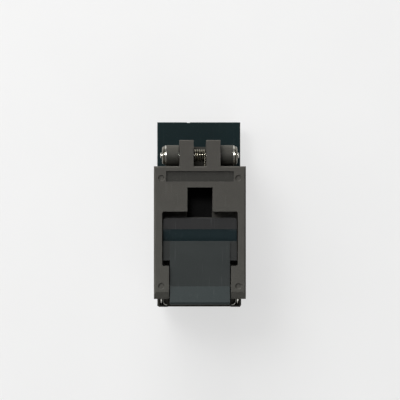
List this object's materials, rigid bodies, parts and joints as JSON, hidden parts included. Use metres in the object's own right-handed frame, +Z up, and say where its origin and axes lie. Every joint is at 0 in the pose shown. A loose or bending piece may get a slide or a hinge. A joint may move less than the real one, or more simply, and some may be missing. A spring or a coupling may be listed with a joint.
{
  "type": "ic socket",
  "caption": "Clamshell test socket for a small-outline chip: sprung lid, latch plate, two rows of contacts with straight tails.",
  "frame": {"origin": "on the board, under the middle of the base: the tail plate's lower face is z = 0", "axes": "+Z up from the board, X along the hinge shaft, +Y from the latch end to the hinge end"},
  "size_m": [0.02, 0.0408, 0.017],
  "materials": {
    "base_plastic": "moulded, satin",
    "lid_plastic": "moulded, satin",
    "plate_plastic": "moulded, fine matt",
    "nest_plastic": "moulded, matt",
    "latch_plastic": "moulded, smooth",
    "steel": "ground",
    "bright_steel": "plated",
    "spring_wire": "drawn wire",
    "gold_plate": "gold plated, bright"
  },
  "bodies": {
    "base": {"base": "base_plastic", "tail_plate": "plate_plastic", "ic_nest": "nest_plastic", "hinge_shaft": "steel", "hinge_cap_left": "bright_steel", "hinge_cap_right": "bright_steel", "hinge_spring": "spring_wire", "catch_pin": "steel", "catch_ring_left": "bright_steel", "catch_ring_right": "bright_steel", "contact_01": "gold_plate", "contact_02": "gold_plate", "contact_03": "gold_plate", "contact_04": "gold_plate", "contact_05": "gold_plate", "contact_06": "gold_plate", "contact_07": "gold_plate", "contact_08": "gold_plate", "contact_09": "gold_plate", "contact_10": "gold_plate", "contact_11": "gold_plate", "contact_12": "gold_plate", "contact_13": "gold_plate", "contact_14": "gold_plate", "contact_15": "gold_plate", "contact_16": "gold_plate", "contact_17": "gold_plate", "contact_18": "gold_plate", "contact_19": "gold_plate", "contact_20": "gold_plate", "contact_21": "gold_plate", "contact_22": "gold_plate", "contact_23": "gold_plate", "contact_24": "gold_plate", "contact_25": "gold_plate", "contact_26": "gold_plate", "contact_27": "gold_plate", "contact_28": "gold_plate"},
    "lid": {"lid": "lid_plastic", "pusher": "nest_plastic", "latch_shaft": "steel", "latch_spring_left": "spring_wire", "latch_spring_right": "spring_wire"},
    "latch": {"latch": "latch_plastic"}
  },
  "joints": [
    {"name": "lid_hinge", "type": "hinge", "parent": "base", "child": "lid", "pos_m": [0, 0.0129, 0.0103], "axis": [-1, 0, 0], "range_deg": [0, 90], "deforming": ["hinge_spring"]},
    {"name": "latch_pivot", "type": "hinge", "parent": "lid", "child": "latch", "pos_m": [0, -0.0156, 0.0118], "axis": [-1, 0, 0], "range_deg": [-4, 5.5], "stiffness_Nm_per_rad": 0.02, "deforming": ["latch_spring_left", "latch_spring_right"]}
  ]
}
